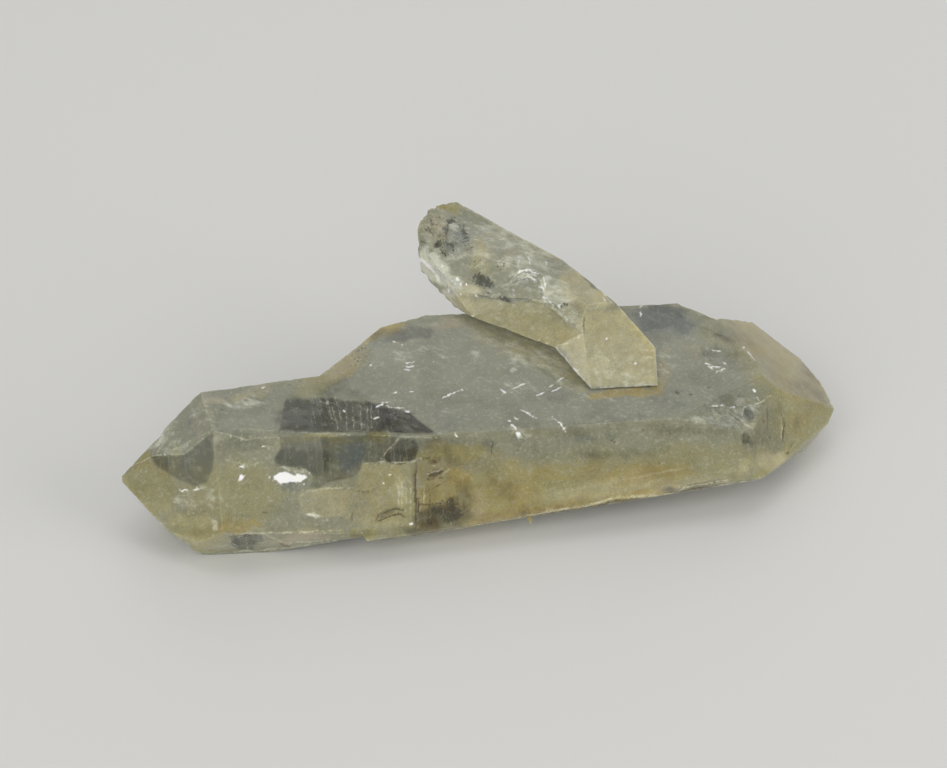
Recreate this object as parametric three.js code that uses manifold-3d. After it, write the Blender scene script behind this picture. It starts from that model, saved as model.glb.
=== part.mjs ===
// Quartz: three crystals grown together, lying on a prism face.
// Millimetres, +X along the crystals to the right, +Y to the back, +Z up.
// The origin is at the middle of the underside of the whole group.
import * as THREE from 'three';
import { mergeVertices } from 'three/addons/utils/BufferGeometryUtils.js';
import Module from 'manifold-3d';

const wasm = await Module();
wasm.setup();

// Driving dimensions
const BLANK_SIZE = 120;
const WASTE_SIZE = 2 * BLANK_SIZE;
const LONG_MIDDLE = new THREE.Vector3(0, 6.5, 6.5);
const SMALL_MIDDLE = new THREE.Vector3(6.5, 12, 17);

// Quartz angles: the tip faces lean 38.21 degrees to the long axis, which is
// a rise of 51.8 degrees over the top and bottom faces and of 23.1 degrees
// over the four side faces, at a heading of 47.7 degrees to the long axis.
const TIP_RISE = 51.8;
const TIP_SIDE_RISE = 23.1;
const TIP_SIDE_HEADING = 47.7;
const SIDE_RISE = 30;

// A flat face is [heading, rise, reach]: the heading of its outward normal,
// in degrees anticlockwise from +X, the normal's rise above level, and the
// distance of the face from the middle of its crystal.

// Faces that the two long crystals share
const FRONT_FACE = [-90, SIDE_RISE, 6.75];
const RESTING_FACE = [0, -90, LONG_MIDDLE.z];

// The left crystal, the narrower one, with the sharp left tip
const LEFT_FACES = {
  top: [-54.6, 80, 4.43],
  ridgeBevel: [-84.8, 54.5, 6.14],
  lowerFront: [-96.5, -SIDE_RISE, 11.39],
  undercut: [-24.9, -74.9, 1.71],
  back: [96.5, 30.7, 7.88],
  lowerBack: [90, -SIDE_RISE, 5.82],
  tipTop: [-166.6, 47.5, 23.24],
  tipFront: [-132, 23.3, 21.89],
  tipLowerFront: [-180 + TIP_SIDE_HEADING, -TIP_SIDE_RISE, 24.88],
  tipBottom: [180, -TIP_RISE, 22.61],
  tipBack: [128.9, 26.7, 19.85],
  tipLowerBack: [180 - TIP_SIDE_HEADING, -TIP_SIDE_RISE, 22.13],
  hiddenEnd: [-19.3, -25.3, -3.28],
};

// The hump behind it, a wider crystal with its own shoulders
const HUMP_FACES = {
  back: [86.1, 29.9, 13.06],
  lowerBack: [90, -SIDE_RISE, 11.12],
  shoulder: [104.9, 28, 13.59],
  leftShoulder: [180 - TIP_SIDE_HEADING, TIP_SIDE_RISE, 14.42],
  leftLowerShoulder: [180 - TIP_SIDE_HEADING, -TIP_SIDE_RISE, 14.13],
  hiddenStart: [-163.3, -25.6, 15.49],
  startUndercut: [-94.7, -69.4, 7.75],
  rightShoulder: [TIP_SIDE_HEADING, TIP_SIDE_RISE, 23.42],
  rightLowerShoulder: [TIP_SIDE_HEADING, -TIP_SIDE_RISE, 25.13],
};

// The right end, in line with the hump and lower at the back
const RIGHT_END_FACES = {
  hiddenStart: [180, 0, 0],
  back: [101.5, 39.5, 5.01],
  lowerBack: [90, -SIDE_RISE, 9.12],
  tipBack: [48.4, 23.6, 27.45],
  tipBevel: [18, 16.6, 35.07],
  tipLowerBack: [TIP_SIDE_HEADING, -TIP_SIDE_RISE, 29.13],
  blunt: [-18.2, -19.2, 33.66],
};

// Faces that bound the hump and the right end together
const RIGHT_SHARED_FACES = {
  top: [-81.5, 77.9, 5.13],
  lowerFront: [-87.3, -29.9, 10.26],
  undercut: [-81.9, -70.5, 7.01],
  tipTop: [0, TIP_RISE, 21.29],
  tipFront: [-TIP_SIDE_HEADING, TIP_SIDE_RISE, 21.67],
  tipLowerFront: [-TIP_SIDE_HEADING, -TIP_SIDE_RISE, 24.1],
  tipBottom: [0, -TIP_RISE, 25],
  chippedCorner: [-70.6, 60.5, 8.82],
};

// The small crystal across the hump: faces of its shaft and its foot
const SMALL_SHARED_FACES = {
  end: [-91.3, 31.8, 2.51],
  endLeft: [-121.4, 26.2, 0.16],
  front: [-133.4, 38.1, -1.05],
  top: [-92.6, 83, 1.68],
  back: [37, 17.3, 6.93],
  lowerBack: [48.9, -14.9, 8.98],
  endRight: [24.2, 27.7, 6.51],
  endSide: [5.9, -6.2, 11.51],
};
const SHAFT_FACES = {
  lowerFront: [-135.9, -61.7, 2.61],
  bottom: [63.7, -67, 4.7],
  breakEnd: [146.4, -4.6, 14.15],
  breakFront: [-158.4, -9.2, 3.6],
  breakTop: [90, 37.1, 14.89],
};
const FOOT_FACES = {
  underEnd: [-100.3, -72.3, 7.06],
  underLeft: [168.4, -50.4, 0.32],
};

// Plates: a last thin layer of growth over a part of one face. An outline
// is in millimetres on the face, from the foot of the face's reach: first
// the level way along the face, then the way up it. Where an outline runs
// past the face, the plate ends in line with the next face.
const SMALL_FRONT_PLATE = {
  face: 'front',
  thickness: 0.25,
  outline: [
    [5.9, -0.3], [4.2, 0.3], [1.2, 1.2], [-1.2, 1.2], [-4.4, 0.2], [-6.6, 0],
    [-8.4, -0.3], [-9.9, 0.3], [-11.7, 1.2], [-13.9, 2.3], [-17, 2.6],
    [-19, 9], [9, 9], [9, 0.6],
  ],
};
const HUMP_BACK_PLATE = {
  face: 'back',
  thickness: 0.35,
  outline: [
    [-20, -9], [-20, -2.5], [-14, -2.2], [-13.4, -0.6], [-5, -0.8],
    [-4.2, -3], [-1, -3.4], [-0.6, -9],
  ],
};
const LEFT_BACK_PLATE = {
  face: 'back',
  thickness: 0.25,
  outline: [[15.4, -7], [16, -1.9], [20.4, -1.6], [21, 0.9], [25.8, 0.4], [26.5, -7]],
};
const PLATE_DEPTH = 3;

// Chips: shallow hollows, as quartz breaks. Each is [x, y, z, radius] of
// the ball with flat facets that fits it.
const CHIPS = {
  ridgeCorner: [27.12, 0.58, 11.25, 3],
  besideRidgeCorner: [24.27, -1.27, 13.27, 5],
  rightTop: [25.38, 8.43, 15.03, 4],
  brokenEnd: [-3.24, 28.1, 17.9, 3.2],
  brokenEndTop: [-1.63, 29.1, 19.1, 2.5],
  brokenFront: [-3.1, 20.33, 15.3, 3],
  brokenFrontTop: [-3.6, 22.56, 18.1, 2],
};
const BALL_DETAIL = 2;
const BALL_TURN = 0.7;

// The small spur on the lower edge: where it sits, its radius and height
const SPUR_PLACE = new THREE.Vector3(3.7, -2.5, 2);
const SPUR_WAY = new THREE.Vector3(0, -0.8, -0.6);
const SPUR_RADIUS = 0.5;
const SPUR_HEIGHT = 1.1;
const SPUR_SIDES = 5;

function normalOf([heading, rise]) {
  const yaw = THREE.MathUtils.degToRad(heading);
  const pitch = THREE.MathUtils.degToRad(rise);
  return new THREE.Vector3(
    Math.cos(pitch) * Math.cos(yaw),
    Math.cos(pitch) * Math.sin(yaw),
    Math.sin(pitch),
  );
}

// A frame on a face: x level along the face, y up it and z outwards
function frameOn(face, middle) {
  const yaw = THREE.MathUtils.degToRad(face[0]);
  const outward = normalOf(face);
  const along = new THREE.Vector3(-Math.sin(yaw), Math.cos(yaw), 0);
  const upward = new THREE.Vector3().crossVectors(outward, along);
  const foot = middle.clone().addScaledVector(outward, face[2]);
  return new THREE.Matrix4().makeBasis(along, upward, outward).setPosition(foot);
}

function solidFrom(geometry) {
  const bare = geometry.clone();
  bare.deleteAttribute('normal');
  bare.deleteAttribute('uv');
  const closed = mergeVertices(bare);
  return new wasm.Manifold(new wasm.Mesh({
    numProp: 3,
    vertProperties: new Float32Array(closed.attributes.position.array),
    triVerts: new Uint32Array(closed.index.array),
  }));
}

// A large block whose near side is the given face: all that it covers goes
function wasteBeyond(face, middle) {
  const block = new THREE.BoxGeometry(WASTE_SIZE, WASTE_SIZE, WASTE_SIZE);
  block.translate(0, 0, WASTE_SIZE / 2);
  block.applyMatrix4(frameOn(face, middle));
  return solidFrom(block);
}

function cutFaces(solid, faces, middle) {
  let rest = solid;
  for (const face of Object.values(faces)) {
    rest = rest.subtract(wasteBeyond(face, middle));
  }
  return rest;
}

function blank(middle) {
  const block = new THREE.BoxGeometry(BLANK_SIZE, BLANK_SIZE / 2, BLANK_SIZE / 2);
  block.translate(middle.x, middle.y, middle.z);
  return solidFrom(block);
}

function longCrystal(faces) {
  return cutFaces(blank(LONG_MIDDLE), faces, LONG_MIDDLE);
}

function smallCrystal(faces) {
  const body = cutFaces(blank(SMALL_MIDDLE), faces, SMALL_MIDDLE);
  const shaft = cutFaces(body, SHAFT_FACES, SMALL_MIDDLE);
  const foot = cutFaces(body, FOOT_FACES, SMALL_MIDDLE);
  return shaft.add(foot);
}

// The crystal with one plate: the same crystal with that face grown further
// is kept within the plate's outline only
function withPlate(crystal, faces, middle, plate) {
  const [heading, rise, reach] = faces[plate.face];
  const grownFace = [heading, rise, reach + plate.thickness];
  const grown = crystal({ ...faces, [plate.face]: grownFace });
  const outline = plate.outline.map(([along, upward]) => new THREE.Vector2(along, upward));
  const prism = new THREE.ExtrudeGeometry(new THREE.Shape(outline), {
    depth: PLATE_DEPTH,
    bevelEnabled: false,
  });
  prism.translate(0, 0, -PLATE_DEPTH / 2);
  prism.applyMatrix4(frameOn(faces[plate.face], middle));
  return crystal(faces).add(grown.intersect(solidFrom(prism)));
}

function longCrystals() {
  const left = withPlate(longCrystal, LEFT_FACES, LONG_MIDDLE, LEFT_BACK_PLATE);
  const hump = withPlate(longCrystal, HUMP_FACES, LONG_MIDDLE, HUMP_BACK_PLATE);
  const rightEnd = longCrystal(RIGHT_END_FACES);
  const right = cutFaces(hump.add(rightEnd), RIGHT_SHARED_FACES, LONG_MIDDLE);
  return cutFaces(left.add(right), { FRONT_FACE, RESTING_FACE }, LONG_MIDDLE);
}

function spur() {
  const cone = new THREE.ConeGeometry(SPUR_RADIUS, SPUR_HEIGHT, SPUR_SIDES);
  const turn = new THREE.Quaternion().setFromUnitVectors(
    new THREE.Vector3(0, 1, 0),
    SPUR_WAY,
  );
  cone.applyQuaternion(turn);
  cone.translate(SPUR_PLACE.x, SPUR_PLACE.y, SPUR_PLACE.z);
  return solidFrom(cone);
}

function chipped(solid) {
  let rest = solid;
  for (const [x, y, z, radius] of Object.values(CHIPS)) {
    const ball = new THREE.IcosahedronGeometry(radius, BALL_DETAIL);
    ball.rotateX(BALL_TURN);
    ball.rotateZ(BALL_TURN);
    ball.translate(x, y, z);
    rest = rest.subtract(solidFrom(ball));
  }
  return rest;
}

function geometryFrom(solid) {
  const { vertProperties, triVerts } = solid.getMesh();
  const geometry = new THREE.BufferGeometry();
  geometry.setAttribute('position', new THREE.BufferAttribute(vertProperties, 3));
  geometry.setIndex(new THREE.BufferAttribute(triVerts, 1));
  return geometry;
}

const small = withPlate(smallCrystal, SMALL_SHARED_FACES, SMALL_MIDDLE, SMALL_FRONT_PLATE);
const geometry = geometryFrom(chipped(longCrystals().add(small).add(spur())));
geometry.computeBoundingBox();
const box = geometry.boundingBox;
geometry.translate(
  -(box.min.x + box.max.x) / 2,
  -(box.min.y + box.max.y) / 2,
  -box.min.z,
);
geometry.computeVertexNormals();

const quartz = new THREE.Mesh(
  geometry,
  new THREE.MeshStandardMaterial({
    color: 0xc9c9a6,
    roughness: 0.25,
    metalness: 0,
    flatShading: true,
  }),
);
quartz.name = 'quartz';

const group = new THREE.Group();
group.add(quartz);

export default group;
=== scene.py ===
import math

import bmesh
import bpy
import numpy as np
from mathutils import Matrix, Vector, kdtree, noise


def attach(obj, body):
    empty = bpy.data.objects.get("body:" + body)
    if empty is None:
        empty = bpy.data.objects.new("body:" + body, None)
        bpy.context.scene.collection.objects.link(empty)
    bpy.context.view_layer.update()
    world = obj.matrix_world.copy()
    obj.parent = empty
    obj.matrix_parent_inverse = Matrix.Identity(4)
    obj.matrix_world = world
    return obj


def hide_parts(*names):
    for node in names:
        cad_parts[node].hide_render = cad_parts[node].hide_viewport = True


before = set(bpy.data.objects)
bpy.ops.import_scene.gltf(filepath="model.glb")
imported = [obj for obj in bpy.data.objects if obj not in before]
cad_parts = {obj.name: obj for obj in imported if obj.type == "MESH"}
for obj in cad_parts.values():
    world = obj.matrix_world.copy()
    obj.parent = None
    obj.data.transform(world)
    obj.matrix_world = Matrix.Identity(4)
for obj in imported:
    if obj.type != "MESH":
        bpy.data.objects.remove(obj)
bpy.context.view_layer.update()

# Sizes are in metres, as the frame's are, unless a comment gives another unit.
MM = 0.001

# The camera, at the photograph's viewing angle
PHOTO_WIDE = 947
PHOTO_HIGH = 768
AZIMUTH = math.radians(-11)
ELEVATION = math.radians(34)
CAMERA_REACH = 400 * MM
LOOK_AT = Vector((-0.85, -5.08, 11.7)) * MM
PIXELS_PER_MM = 10
SENSOR = 36
NEAREST_SEEN = 10 * MM

# The studio: each lamp's place, width, watts and colour, the light from all
# around, and the floor
LAMPS = {
    "key": ((-0.5, -0.75, 0.42), 1.2, 6.05, (1, 0.98, 0.93)),
    "top": ((0.1, 0.2, 0.7), 0.6, 0.6, (1, 1, 1)),
    "side": ((0.6, -0.4, 0.3), 0.6, 1.7, (1, 0.97, 0.93)),
    "back": ((0.3, 0.9, 0.35), 1.0, 1.2, (1, 1, 1)),
}
STUDIO_COLOUR = (0.97, 0.97, 0.96, 1)
STUDIO_STRENGTH = 0.45
FLOOR_REACH = 1.5
FLOOR_PALE = (0.74, 0.74, 0.73)
FLOOR_DARK = (0.7, 0.7, 0.69)

# The mesh is cut into strips across each axis. With the axis goes how square
# to it a face may stand and still be cut. Faces that look down aren't cut.
CELL = 0.335 * MM
CELL_SHIFT = 0.37
STRIPS = ((0, 0.9), (1, 0.75), (2, 0.8))
LOOKS_DOWN = -0.95
MERGE = 0.002 * MM
SLIVER = 0.012 * MM

# Angles: what counts as flat, as a crystal edge, and as too sharp to shade
# smoothly. Points are set along the crystal edges at the step.
FLAT_ANGLE = math.radians(1.5)
SHARP_ANGLE = math.radians(16)
SHADE_ANGLE = math.radians(38)
EDGE_STEP = 0.05 * MM

# In pixels of the photograph: how near a thin line each round of finer cuts
# reaches, and how far noise moves what is drawn
LINE_REACHES = (3.6, 2.2)
WARP_REACH = 1.6
DRIFT_REACH = 6
SHAKE_REACH = 0.9

# Relief in millimetres: how far the whole surface stands out, and how high or
# deep its forms are
GROWTH = 0.07
SWELL = 0.05
STEP_HIGH = 0.035
STRIAE_HIGH = 0.02
SEEN_STRIAE_LOSS = 0.014
BREAK_COARSE = 0.3
BREAK_FINE = 0.12
BREAK_MOST = 0.06
CHIP_ROUGH = 0.4
TIP_STEP_HIGH = 0.12
NIBBLE_DEEP = 0.05
BREAK_NIBBLE_DEEP = 0.2
GLINT_HIGH = 0.03
CRACK_DEEP = 0.015

# Sharp corners widen the relief by no more than this. It fades out between
# two heights, near what the piece rests on.
CORNER_MOST = 1.6
REST_LOW = 0.05 * MM
REST_HIGH = 0.3 * MM

# The middle of the long crystals, and three of their faces as heading, rise
# and reach from that middle in millimetres. What is beyond them is the small
# crystal.
LONG_MIDDLE = Vector((-0.846, -6.478, 6.5)) * MM
HUMP_TOP = (-81.5, 77.9, 5.2)
HUMP_BACK = (86.1, 29.9, 13.5)
HUMP_BACK_LOW = 12 * MM
LEFT_TOP = (-54.6, 80, 4.5)

# Colours, as they show under even light
GREY = (137, 138, 121)
OLIVE = (150, 145, 100)
OCHRE = (160, 146, 92)
PEACH = (170, 160, 134)
CREAM = (184, 177, 140)
VEIL_AND_HIGHLIGHT = (205, 206, 192)
BLUE_GREY = (112, 119, 115)
BROWN = (98, 76, 42)
SPECK = (46, 49, 44)
# The white of the painted highlights
WHITE = (250, 250, 246)
DEEP_AND_SHADE = (82, 86, 74)
CRACK = (66, 58, 38)
LIFT = 1.32
MOST_LIGHT = 0.9

# Coats of colour over the grey, from the bottom up: the mark that a coat
# shows, how far it covers what is under it, and its colour
COATS = [
    ("olive", 1, OLIVE),
    ("blue", 1, BLUE_GREY),
    ("ochre", 1, OCHRE),
    ("peach", 1, PEACH),
    ("cream", 1, CREAM),
    # The veil coat also carries painted light on the hump below the small crystal.
    ("veil_and_painted_light", 0.8, VEIL_AND_HIGHLIGHT),
    # The deep coat is partly painted shade, along the lower edge.
    ("deep_and_shade", 0.45, DEEP_AND_SHADE),
    ("wisps", 0.2, VEIL_AND_HIGHLIGHT),
    ("fine", 0.26, VEIL_AND_HIGHLIGHT),
    ("grit", 0.3, DEEP_AND_SHADE),
    # Sparkle is painted highlight.
    ("sparkle", 1, VEIL_AND_HIGHLIGHT),
    ("rubbed", 0.06, CREAM),
    ("brown", 0.75, BROWN),
    ("speck", 0.75, SPECK),
    # The crack coat also paints shade along the lower edge and where the small crystal meets the
    # hump.
    ("crack", 0.8, CRACK),
    # The pale coat is partly painted highlights along edges.
    ("pale", 0.45, VEIL_AND_HIGHLIGHT),
    # The glint coat is painted highlights.
    ("glint", 1, WHITE),
]

# How much of the clearness each mark takes away
CLOUDED_BY = {"pale": 0.8, "glint": 1, "crack": 0.7, "speck": 0.6}

# Noises of the finish: the size of their grains in millimetres, their detail
# and their roughness. Wisps and striae are also turned or stretched.
NOISES = {
    "cloud": (3.2, 4.0, 0.6),
    "mottle": (0.9, 3.0, 0.6),
    "fine": (0.35, 3.0, 0.6),
    "fleck": (0.24, 1.0, 0.5),
    "grit": (0.14, 1.0, 0.5),
}
WISPS = (0.8, 4.0, 0.65)
WISPS_TURN = (0.3, 0, 0.6)
WISPS_STRETCH = (0.6, 1.2, 1.0)
STRIAE = (0.25, 2.0, 0.5)
STRIAE_STRETCH = (1, 0.05, 0.05)

# Clear quartz: its colour in hazy places, in windows and in deep ones, how it
# bends light, and what it takes from the light that goes through
HAZY_CLEAR = (0.93, 0.95, 0.9)
WINDOW_CLEAR = (0.6, 0.63, 0.62)
DEEP_CLEAR = (0.38, 0.4, 0.38)
QUARTZ_IOR = 1.544
INNER_COLOUR = (0.58, 0.6, 0.55, 1)
INNER_DENSITY = 70.0

# What the crystals show, in pixels of the photograph. A spot is its middle,
# half its width, half its height, its turn in degrees and its strength. A
# patch is its strength, the softness of its edge and its corners. Two
# outlines that two tints fill come first.
FRACTURE_BLOCK = [(416, 464), (430, 455), (446, 464), (453, 473), (467, 482), (471, 493),
                  (469, 512), (462, 521), (416, 530)]
SMALL_LOWER_FACE = [(446, 292), (476, 298), (496, 299), (512, 303), (538, 299), (555, 308),
                    (581, 333), (556, 349), (500, 330), (468, 316)]
LONG_SPOTS = {
    "olive": [
        (235, 492, 62, 42, 0, 0.6), (500, 500, 150, 42, -7, 0.8), (560, 470, 170, 24, -5, 0.5),
        (680, 470, 90, 34, -6, 0.6), (800, 385, 40, 80, 0, 0.8), (735, 332, 40, 20, 10, 0.6),
        (150, 490, 40, 34, 0, 0.65), (195, 530, 34, 26, 20, 0.7), (330, 375, 50, 12, -35, 0.6),
        (320, 440, 50, 5, 0, 0.8), (378, 438, 14, 4, 0, 1.3), (340, 449, 5, 6, 0, 0.9),
        (765, 430, 22, 26, 0, 0.5), (700, 460, 60, 10, 0, 0.5), (770, 370, 40, 26, 30, 0.6),
        (748, 345, 18, 26, 20, 0.6), (178, 466, 7, 26, 0, 0.6), (410, 470, 14, 18, 0, 0.5),
        (465, 508, 26, 12, 0, 0.6), (520, 519, 60, 6, -9, 0.8), (790, 450, 12, 14, 0, 0.8),
        (764, 473, 12, 7, 0, 0.9), (664, 372, 7, 24, 0, 0.4), (450, 452, 46, 9, 0, 1.0),
        (362, 535, 18, 6, 0, 1.0), (136, 460, 20, 16, 0, 0.9), (245, 541, 22, 8, 0, 0.5),
        (385, 480, 34, 24, 0, 0.6), (770, 458, 30, 12, 0, 0.6),
    ],
    "ochre": [
        (500, 466, 60, 18, 0, 0.5), (545, 474, 80, 13, -6, 0.55), (640, 476, 60, 14, -6, 0.8),
        (500, 498, 50, 26, -6, 0.7), (560, 506, 90, 8, -10, 0.9), (622, 394, 40, 6, -3, 1.1),
        (658, 384, 8, 12, 0, 0.8), (430, 447, 18, 12, 0, 0.5), (465, 457, 30, 14, 0, 0.6),
        (445, 478, 30, 26, 0, 0.5), (395, 480, 20, 14, 0, 0.5), (775, 465, 16, 10, 0, 0.6),
        (805, 405, 22, 40, 15, 0.55), (768, 343, 54, 22, 35, 0.85), (385, 500, 56, 34, 0, 0.35),
        (225, 532, 56, 18, 0, 0.4), (410, 425, 30, 10, 0, 0.3), (800, 380, 36, 30, 40, 0.7),
        (136, 462, 16, 12, 0, 0.5), (520, 516, 70, 8, -10, 0.9), (440, 500, 30, 32, 0, 0.6),
        (752, 350, 16, 24, 0, 0.4), (380, 334, 30, 8, -25, 0.9), (350, 366, 26, 8, -30, 0.4),
        (459, 478, 13, 14, 0, 1.1), (440, 452, 26, 5, -5, 0.5), (256, 524, 12, 6, 0, 0.8),
        (205, 518, 24, 12, 20, 0.35), (150, 466, 24, 12, 0, 0.35), (374, 498, 8, 3, 10, 0.8),
        (460, 517, 7, 3, -5, 0.8), (650, 494, 60, 7, -9, 1.0), (236, 529, 26, 6, 0, 0.8),
        (400, 478, 20, 14, 0, 0.35),
    ],
    "peach": [
        (212, 402, 18, 7, -8, 0.6), (262, 390, 14, 5, 0, 0.6), (310, 383, 30, 5, -15, 0.4),
        (345, 362, 34, 8, -38, 0.6), (478, 507, 9, 20, 0, 0.5), (384, 503, 9, 4, 20, 0.6),
        (448, 322, 30, 7, -10, 0.6), (530, 352, 60, 10, 28, 0.5), (690, 352, 16, 12, -30, 0.35),
        (302, 538, 38, 5, -5, 0.8), (198, 502, 20, 10, 0, 0.4), (663, 366, 6, 24, 0, 0.5),
        (690, 485, 40, 8, -8, 0.5),
    ],
    "cream": [
        (600, 488, 70, 11, -9, 0.5), (735, 465, 24, 12, 0, 0.4), (242, 396, 24, 5, -5, 0.5),
        (200, 546, 40, 8, 10, 0.5), (330, 529, 60, 4, -8, 0.3), (775, 462, 20, 12, 0, 0.9),
        (217, 526, 5, 6, 0, 0.4), (570, 366, 40, 12, 42, 0.5), (401, 494, 13, 18, 0, 0.6),
        (160, 515, 30, 20, 30, 0.4), (195, 520, 30, 10, 0, 0.5), (315, 493, 20, 5, -5, 0.6),
        (383, 526, 30, 6, -3, 0.5),
    ],
    "veil_and_painted_light": [
        (160, 436, 26, 12, -40, 0.6), (203, 413, 14, 14, -30, 0.3), (165, 447, 5, 7, 20, 0.4),
        (179, 443, 9, 10, 15, 0.35), (172, 450, 18, 3, 0, 0.4), (203, 413, 12, 7, -30, 0.35),
        (240, 403, 28, 6, -5, 0.5), (192, 500, 20, 10, 10, 0.35), (210, 499, 6, 12, 0, 0.5),
        (215, 526, 5, 11, 0, 0.6), (208, 489, 9, 4, 0, 0.5), (474, 353, 6, 8, 20, 0.45),
        (510, 358, 4, 6, -30, 0.6), (515, 368, 5, 5, 30, 0.55), (718, 368, 12, 6, 0, 0.2),
        (580, 405, 60, 16, -12, 0.2), (320, 517, 16, 3, 5, 0.6), (430, 350, 22, 12, 20, 0.3),
        (402, 358, 14, 9, 0, 0.4), (401, 492, 3, 8, 0, 0.4), (406, 500, 8, 6, 0, 0.3),
        (518, 432, 16, 7, 10, 0.35), (520, 388, 20, 8, 0, 0.3), (296, 469, 18, 2.5, 3, 0.6),
        # The veil spots at (535, 358) and (560, 372) are painted light on the hump below the small
        # crystal, where its shade falls.
        (535, 358, 46, 12, 24, 0.5), (560, 372, 26, 10, 40, 0.4), (655, 360, 20, 22, 0, 0.3),
    ],
    "blue": [
        (663, 321, 38, 15, 8, 0.9), (380, 340, 26, 10, -25, 0.4), (560, 440, 90, 6, -3, 0.4),
        (690, 400, 40, 20, 0, 0.3), (320, 520, 30, 4, 0, 0.4), (440, 422, 40, 10, 0, 0.3),
        (292, 482, 26, 13, 5, 0.5), (350, 455, 18, 20, 0, 0.8),
    ],
    # Brown stains, and darker brown along the lower edge, which is painted shade
    "brown": [
        (418, 492, 2.2, 40, 0, 0.6), (428, 524, 14, 9, 0, 0.8), (434, 460, 9, 6, 25, 0.7),
        (436, 474, 11, 5, -15, 0.7), (440, 530, 40, 4, -3, 0.4), (520, 512, 80, 9, -10, 0.5),
        (780, 352, 60, 26, 38, 0.3), (245, 542, 20, 7, 0, 0.35), (500, 498, 24, 20, 0, 0.2),
        (432, 458, 22, 8, 0, 0.3), (388, 450, 4, 14, 35, 0.6), (450, 508, 16, 12, 0, 0.6),
        (475, 528, 14, 1.5, -6, 0.8), (259, 545, 3, 3, 0, 0.9), (283, 544, 7, 2.5, 10, 0.8),
        (300, 536, 30, 5, -3, 0.35), (792, 444, 3, 6, 20, 0.5),
    ],
    "speck": [
        (446, 511, 24, 14, 0, 0.85), (330, 540, 20, 5, 0, 0.4), (500, 380, 150, 60, 0, 0.1),
        (600, 470, 170, 40, -8, 0.08), (310, 384, 36, 5, -15, 0.4), (345, 408, 14, 8, 0, 0.8),
        (400, 415, 24, 12, 20, 0.7), (712, 400, 40, 14, -10, 0.3), (245, 541, 20, 7, 0, 0.9),
        (362, 352, 24, 10, -30, 0.5),
    ],
    # Darker and clearer where the quartz looks deep, and painted shade along the lower edge
    "deep_and_shade": [
        (600, 425, 90, 14, -4, 0.25), (600, 448, 130, 14, -4, 0.35), (722, 331, 40, 12, 20, 0.5),
        (810, 390, 26, 34, 20, 0.4), (700, 434, 60, 10, 0, 0.35), (455, 449, 56, 14, 0, 0.35),
        (478, 466, 30, 14, 0, 0.35), (245, 441, 34, 10, 0, 0.5), (219, 456, 12, 24, 0, 0.4),
        (375, 438, 16, 5, 0, 0.6), (440, 517, 34, 14, 0, 0.8), (300, 418, 26, 20, 0, 0.9),
        (296, 456, 24, 12, 0, 0.6), (422, 449, 14, 12, 0, 0.5), (467, 457, 28, 16, 0, 0.42),
        (462, 500, 15, 9, 0, 0.5), (545, 511, 100, 9, -10, 0.3), (425, 440, 22, 6, 0, 0.6),
        (760, 402, 30, 26, 0, 0.3), (238, 452, 30, 16, 0, 0.3), (805, 410, 24, 30, 0, 0.3),
        (410, 333, 26, 9, -8, 0.8), (382, 338, 12, 8, -20, 0.5), (362, 535, 18, 4, 0, 0.5),
        (440, 529, 44, 5, -3, 0.8), (740, 362, 16, 14, 0, 0.45), (485, 488, 40, 26, 0, 0.3),
        (135, 462, 18, 14, 0, 0.35), (380, 370, 26, 14, -20, 0.25), (345, 385, 40, 12, -20, 0.3),
        (434, 521, 22, 8, 0, 0.5), (388, 513, 13, 4, -10, 0.4), (748, 413, 8, 8, 0, 0.6),
        (755, 436, 16, 12, 0, 0.5), (745, 438, 5, 10, 0, 0.6), (663, 320, 40, 16, 8, 0.5),
        (690, 488, 34, 5, -8, 0.8), (713, 353, 12, 9, 0, 0.35), (620, 394, 38, 4, -3, 0.3),
        (555, 395, 30, 10, -10, 0.3),
    ],
}
LONG_PATCHES = {
    "deep_and_shade": [
        (1.2, 2, [(229, 536), (240, 534), (262, 535), (264, 540), (256, 542), (252, 549),
                  (240, 549), (232, 544)]),
        (0.25, 2, [(270, 531), (338, 530), (336, 536), (286, 541)]),
    ],
    "ochre": [
        (0.45, 1.5, FRACTURE_BLOCK),
    ],
    "brown": [
        (0.35, 1.5, FRACTURE_BLOCK),
    ],
    "peach": [
        (0.3, 3, [(470, 489), (487, 489), (488, 526), (462, 527), (470, 512)]),
        (0.4, 2, [(190, 430), (194, 412), (213, 408), (213, 431), (200, 441)]),
    ],
    "cream": [
        # Painted light: this first patch lightens the hump below the small crystal's lower edge,
        # where its shade falls.
        (0.6, 12, [(466, 312), (520, 326), (556, 342), (600, 388), (580, 396), (545, 376),
                   (510, 360), (472, 340)]),
        (0.35, 1.2, [(352, 488), (362, 464), (413, 462), (414, 531), (353, 531)]),
        (0.5, 1.5, [(298, 499), (306, 492), (352, 488), (352, 519), (302, 516)]),
        (0.6, 4, [(736, 458), (750, 456), (750, 475), (736, 477)]),
    ],
    "veil_and_painted_light": [
        # Painted light: this first patch lightens the hump below the small crystal's lower edge,
        # where its shade falls.
        (0.3, 10, [(466, 314), (520, 328), (556, 344), (600, 388), (580, 396), (545, 374),
                   (510, 358), (476, 338)]),
        (0.42, 2.2, [(680, 421), (702, 412), (722, 404), (736, 407), (742, 404), (757, 403),
                    (772, 394), (760, 410), (755, 425), (745, 432), (722, 428)]),
    ],
    "blue": [
        (0.3, 2.2, [(229, 536), (240, 534), (262, 535), (266, 540), (256, 542), (252, 549),
                    (240, 549), (232, 544)]),
        (0.45, 2, [(188, 432), (189, 418), (197, 410), (213, 408), (213, 431), (200, 441)]),
        (0.6, 2, [(742, 406), (755, 404), (757, 416), (746, 421)]),
    ],
}
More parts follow.
